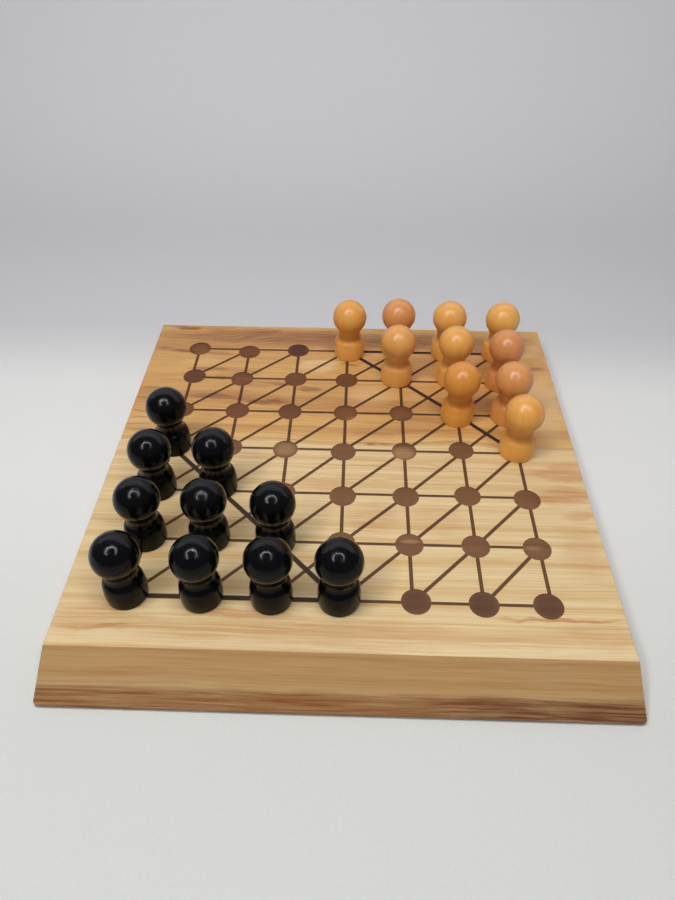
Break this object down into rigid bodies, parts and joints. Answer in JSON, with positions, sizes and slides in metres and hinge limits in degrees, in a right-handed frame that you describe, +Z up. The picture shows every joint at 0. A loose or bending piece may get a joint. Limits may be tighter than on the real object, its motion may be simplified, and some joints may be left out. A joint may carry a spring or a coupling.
{
  "type": "halma set",
  "caption": "Bevelled solid wooden halma board with a burnt network of points and lines, and two camps of turned ball-headed pawns, each of which lifts off.",
  "frame": {"origin": "middle of the board's flat underside", "axes": "+Z up, +X along the board's grain to the right of the player at the black camp, +Y away from that player, along the board's longest side"},
  "size_m": [0.243, 0.2636, 0.0551],
  "materials": {
    "board_wood": "oiled pale hardwood with amber streaks and pyrographed brown lines",
    "black_pawn_wood": "glossy black lacquer on turned wood",
    "natural_pawn_wood": "clear honey lacquer on turned wood"
  },
  "bodies": {
    "board": {"board": "board_wood"},
    "black_pawn_a1": {"black_pawn_a1": "black_pawn_wood"},
    "black_pawn_a2": {"black_pawn_a2": "black_pawn_wood"},
    "black_pawn_a3": {"black_pawn_a3": "black_pawn_wood"},
    "black_pawn_a4": {"black_pawn_a4": "black_pawn_wood"},
    "black_pawn_b1": {"black_pawn_b1": "black_pawn_wood"},
    "black_pawn_b2": {"black_pawn_b2": "black_pawn_wood"},
    "black_pawn_b3": {"black_pawn_b3": "black_pawn_wood"},
    "black_pawn_c1": {"black_pawn_c1": "black_pawn_wood"},
    "black_pawn_c2": {"black_pawn_c2": "black_pawn_wood"},
    "black_pawn_d1": {"black_pawn_d1": "black_pawn_wood"},
    "natural_pawn_g7": {"natural_pawn_g7": "natural_pawn_wood"},
    "natural_pawn_g6": {"natural_pawn_g6": "natural_pawn_wood"},
    "natural_pawn_g5": {"natural_pawn_g5": "natural_pawn_wood"},
    "natural_pawn_g4": {"natural_pawn_g4": "natural_pawn_wood"},
    "natural_pawn_f7": {"natural_pawn_f7": "natural_pawn_wood"},
    "natural_pawn_f6": {"natural_pawn_f6": "natural_pawn_wood"},
    "natural_pawn_f5": {"natural_pawn_f5": "natural_pawn_wood"},
    "natural_pawn_e7": {"natural_pawn_e7": "natural_pawn_wood"},
    "natural_pawn_e6": {"natural_pawn_e6": "natural_pawn_wood"},
    "natural_pawn_d7": {"natural_pawn_d7": "natural_pawn_wood"}
  },
  "joints": [
    {"name": "black_lift_a1", "type": "slide", "parent": "board", "child": "black_pawn_a1", "axis": [0, 0, 1], "range_m": [0, 0.045]},
    {"name": "black_lift_a2", "type": "slide", "parent": "board", "child": "black_pawn_a2", "axis": [0, 0, 1], "range_m": [0, 0.045]},
    {"name": "black_lift_a3", "type": "slide", "parent": "board", "child": "black_pawn_a3", "axis": [0, 0, 1], "range_m": [0, 0.045]},
    {"name": "black_lift_a4", "type": "slide", "parent": "board", "child": "black_pawn_a4", "axis": [0, 0, 1], "range_m": [0, 0.045]},
    {"name": "black_lift_b1", "type": "slide", "parent": "board", "child": "black_pawn_b1", "axis": [0, 0, 1], "range_m": [0, 0.045]},
    {"name": "black_lift_b2", "type": "slide", "parent": "board", "child": "black_pawn_b2", "axis": [0, 0, 1], "range_m": [0, 0.045]},
    {"name": "black_lift_b3", "type": "slide", "parent": "board", "child": "black_pawn_b3", "axis": [0, 0, 1], "range_m": [0, 0.045]},
    {"name": "black_lift_c1", "type": "slide", "parent": "board", "child": "black_pawn_c1", "axis": [0, 0, 1], "range_m": [0, 0.045]},
    {"name": "black_lift_c2", "type": "slide", "parent": "board", "child": "black_pawn_c2", "axis": [0, 0, 1], "range_m": [0, 0.045]},
    {"name": "black_lift_d1", "type": "slide", "parent": "board", "child": "black_pawn_d1", "axis": [0, 0, 1], "range_m": [0, 0.045]},
    {"name": "natural_lift_g7", "type": "slide", "parent": "board", "child": "natural_pawn_g7", "axis": [0, 0, 1], "range_m": [0, 0.045]},
    {"name": "natural_lift_g6", "type": "slide", "parent": "board", "child": "natural_pawn_g6", "axis": [0, 0, 1], "range_m": [0, 0.045]},
    {"name": "natural_lift_g5", "type": "slide", "parent": "board", "child": "natural_pawn_g5", "axis": [0, 0, 1], "range_m": [0, 0.045]},
    {"name": "natural_lift_g4", "type": "slide", "parent": "board", "child": "natural_pawn_g4", "axis": [0, 0, 1], "range_m": [0, 0.045]},
    {"name": "natural_lift_f7", "type": "slide", "parent": "board", "child": "natural_pawn_f7", "axis": [0, 0, 1], "range_m": [0, 0.045]},
    {"name": "natural_lift_f6", "type": "slide", "parent": "board", "child": "natural_pawn_f6", "axis": [0, 0, 1], "range_m": [0, 0.045]},
    {"name": "natural_lift_f5", "type": "slide", "parent": "board", "child": "natural_pawn_f5", "axis": [0, 0, 1], "range_m": [0, 0.045]},
    {"name": "natural_lift_e7", "type": "slide", "parent": "board", "child": "natural_pawn_e7", "axis": [0, 0, 1], "range_m": [0, 0.045]},
    {"name": "natural_lift_e6", "type": "slide", "parent": "board", "child": "natural_pawn_e6", "axis": [0, 0, 1], "range_m": [0, 0.045]},
    {"name": "natural_lift_d7", "type": "slide", "parent": "board", "child": "natural_pawn_d7", "axis": [0, 0, 1], "range_m": [0, 0.045]}
  ]
}
